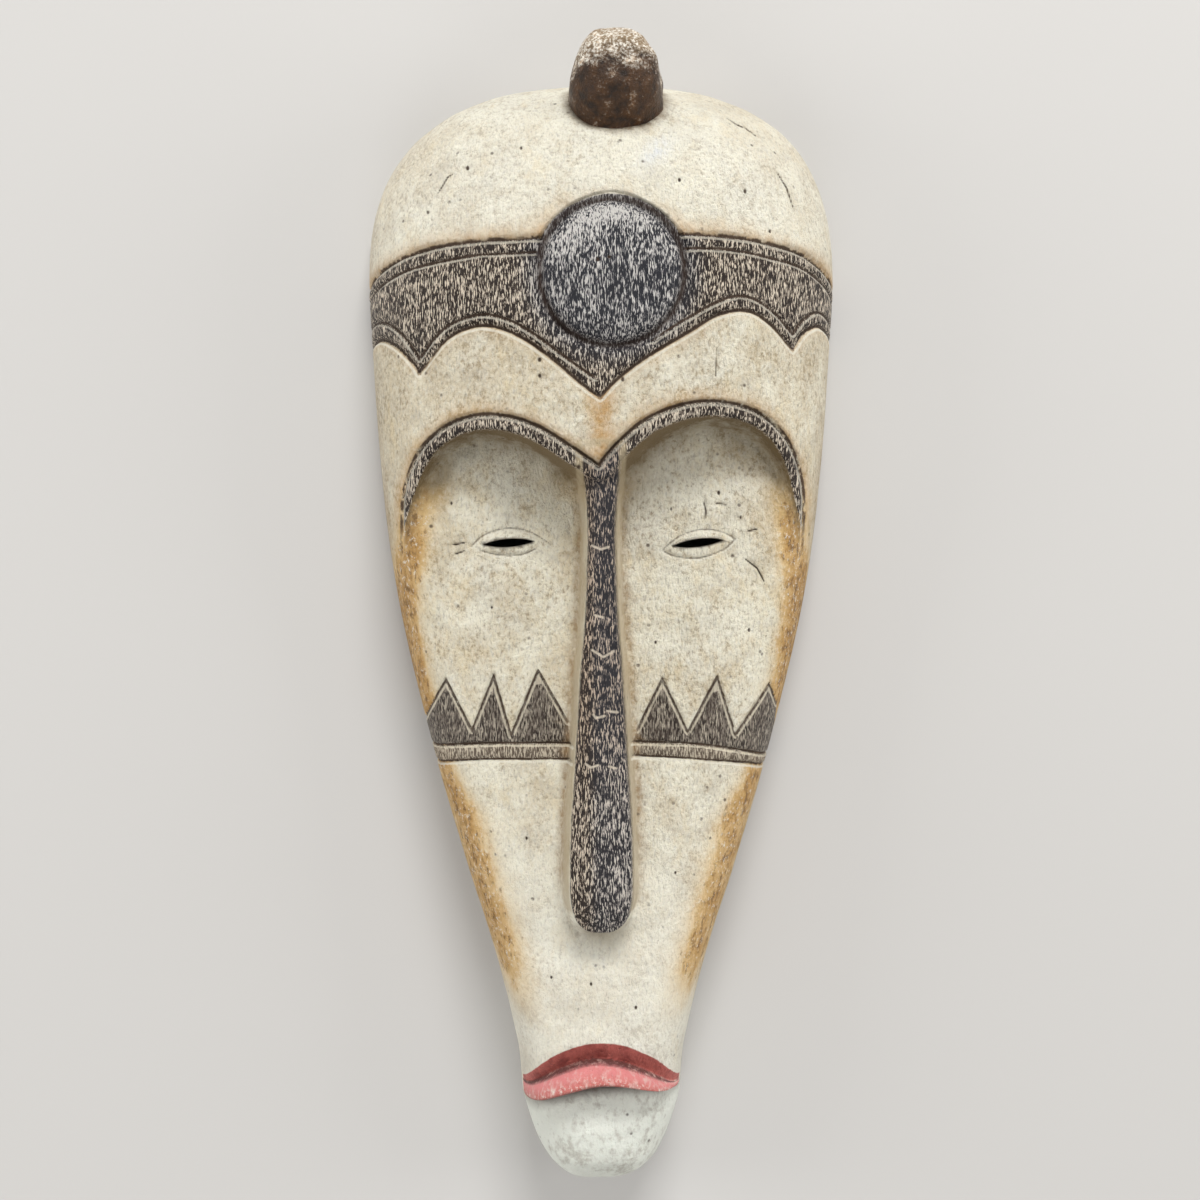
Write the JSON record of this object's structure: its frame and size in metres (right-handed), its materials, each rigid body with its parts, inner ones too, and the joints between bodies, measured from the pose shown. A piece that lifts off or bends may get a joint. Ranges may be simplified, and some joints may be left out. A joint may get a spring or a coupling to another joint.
{
  "type": "fang mask",
  "caption": "Long carved wooden face mask with a hollowed heart-shaped face, straight ridge nose, slit eyes, domed forehead with a round boss and a knob on the crown; hollow behind, flat rim.",
  "frame": {"origin": "on the plane of the flat back rim, below the middle of the mask's bounding box", "axes": "+Y runs from the chin to the crown, +Z is the way the face looks, up when the mask lies on its back rim, and +X is to the right as the face is seen"},
  "size_m": [0.3034, 0.7162, 0.1264],
  "materials": {
    "painted_wood": "matt chalky cream paint over light wood, dark brown bands and nose, red lips, worn and stained"
  },
  "bodies": {
    "root": {"mask": "painted_wood"}
  },
  "joints": []
}
